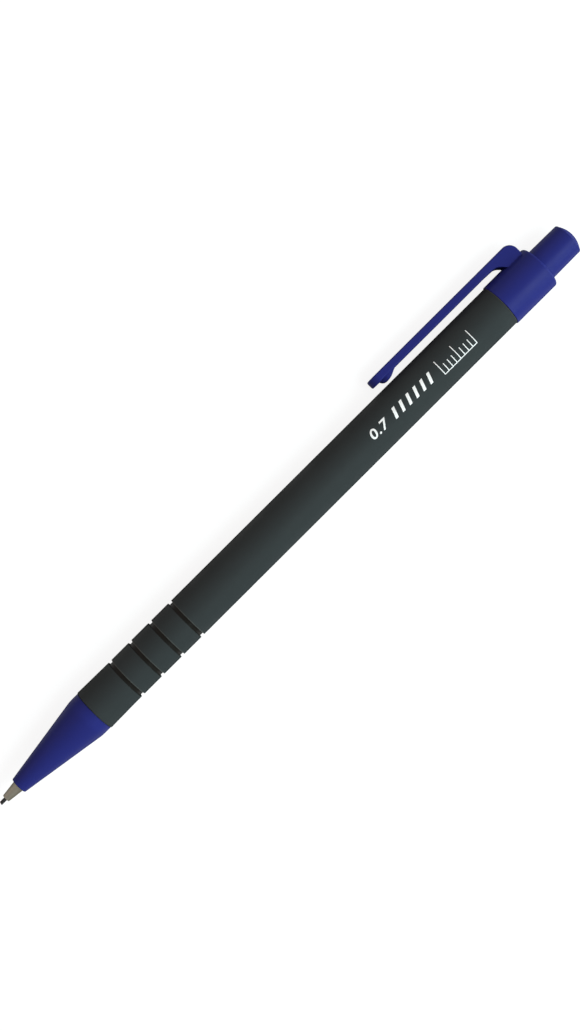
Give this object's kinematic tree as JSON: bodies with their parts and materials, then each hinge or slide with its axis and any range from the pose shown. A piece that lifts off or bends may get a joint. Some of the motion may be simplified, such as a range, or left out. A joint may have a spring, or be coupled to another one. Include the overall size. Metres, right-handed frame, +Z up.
{
  "type": "mechanical pencil",
  "caption": "Push-button mechanical pencil with a screw-on nose cone, metal lead sleeve, grooved barrel, one-piece collar and pocket clip, and an eraser under the button.",
  "frame": {"origin": "on the surface the pencil lies on, under the middle of its bounding box", "axes": "+X along the pencil from the lead's point to the push button, +Z up; the clip points to +Y, rolled down until its edge rests on the surface"},
  "size_m": [0.1452, 0.0118, 0.0089],
  "materials": {
    "charcoal_plastic": "fine matt moulded texture",
    "blue_plastic": "satin moulded",
    "bare_metal": "turned, satin nickel",
    "graphite": "dull graphite, fired with clay and polymer",
    "black_rubber": "moulded",
    "brass": "turned",
    "spring_steel": "drawn wire",
    "white_plastic": "natural, slightly cloudy",
    "eraser_rubber": "white vinyl, matt"
  },
  "bodies": {
    "barrel": {"barrel": "charcoal_plastic", "collar": "blue_plastic", "front_sleeve": "brass", "spring": "spring_steel"},
    "clip": {"clip_arm": "blue_plastic"},
    "push_rod": {"lead_tube": "white_plastic", "connector": "white_plastic", "chuck_body": "brass"},
    "clutch_ring": {"chuck_ring": "brass"},
    "jaw_1": {"chuck_jaw_1": "brass"},
    "jaw_2": {"chuck_jaw_2": "brass"},
    "jaw_3": {"chuck_jaw_3": "brass"},
    "lead": {"lead": "graphite"},
    "retainer": {"lead_retainer": "black_rubber"},
    "nose": {"nose_cone": "blue_plastic", "metal_tip": "bare_metal"},
    "eraser": {"eraser": "eraser_rubber"},
    "button": {"button": "blue_plastic"},
    "spare_leads": {"spare_lead_1": "graphite", "spare_lead_2": "graphite", "spare_lead_3": "graphite"}
  },
  "joints": [
    {"name": "button_press", "type": "slide", "parent": "barrel", "child": "push_rod", "axis": [-1, 0, 0], "range_m": [0, 0.0028], "stiffness_N_per_m": 600, "springref_m": -0.004, "deforming": ["spring"]},
    {"name": "ring_slide", "type": "slide", "parent": "barrel", "child": "clutch_ring", "axis": [-1, 0, 0], "range_m": [0, 0.0009]},
    {"name": "jaw_1_open", "type": "hinge", "parent": "push_rod", "child": "jaw_1", "pos_m": [-0.04853, -0.00073, 0.00416], "axis": [0, -0.3511, -0.9364], "range_deg": [0, 1.5]},
    {"name": "jaw_2_open", "type": "hinge", "parent": "push_rod", "child": "jaw_2", "pos_m": [-0.04853, -0.00159, 0.00519], "axis": [0, 0.9864, 0.1641], "range_deg": [0, 1.5]},
    {"name": "jaw_3_open", "type": "hinge", "parent": "push_rod", "child": "jaw_3", "pos_m": [-0.04853, -0.00206, 0.00394], "axis": [0, -0.6354, 0.7722], "range_deg": [0, 1.5]},
    {"name": "lead_feed", "type": "slide", "parent": "barrel", "child": "lead", "axis": [-1, 0, 0], "range_m": [-0.0013, 0.035]},
    {"name": "nose_advance", "type": "slide", "parent": "barrel", "child": "retainer", "axis": [-1, 0, 0], "range_m": [0, 0.0064]},
    {"name": "nose_unscrew", "type": "hinge", "parent": "retainer", "child": "nose", "pos_m": [-0.04888, -0.00146, 0.00443], "axis": [-1, 0, 0], "range_deg": [0, 2304]},
    {"name": "clip_flex", "type": "hinge", "parent": "barrel", "child": "clip", "pos_m": [0.057, 0.00449, 0.0022], "axis": [0, -0.3511, -0.9364], "range_deg": [0, 5], "stiffness_Nm_per_rad": 0.8, "springref_deg": -0.57},
    {"name": "eraser_pull", "type": "slide", "parent": "push_rod", "child": "eraser", "axis": [1, 0, 0], "range_m": [0, 0.01]},
    {"name": "button_pull", "type": "slide", "parent": "eraser", "child": "button", "axis": [1, 0, 0], "range_m": [0, 0.014]},
    {"name": "spare_leads_slide", "type": "slide", "parent": "push_rod", "child": "spare_leads", "axis": [1, 0, 0], "range_m": [-0.001, 0.033]}
  ],
  "couplings": [
    {"joint": "ring_slide", "follows": "button_press", "ratio": 0.32},
    {"joint": "jaw_1_open", "follows": "button_press", "rad_per_m": 9.3},
    {"joint": "jaw_2_open", "follows": "button_press", "rad_per_m": 9.3},
    {"joint": "jaw_3_open", "follows": "button_press", "rad_per_m": 9.3},
    {"joint": "nose_unscrew", "follows": "nose_advance", "rad_per_m": 6283.2}
  ]
}
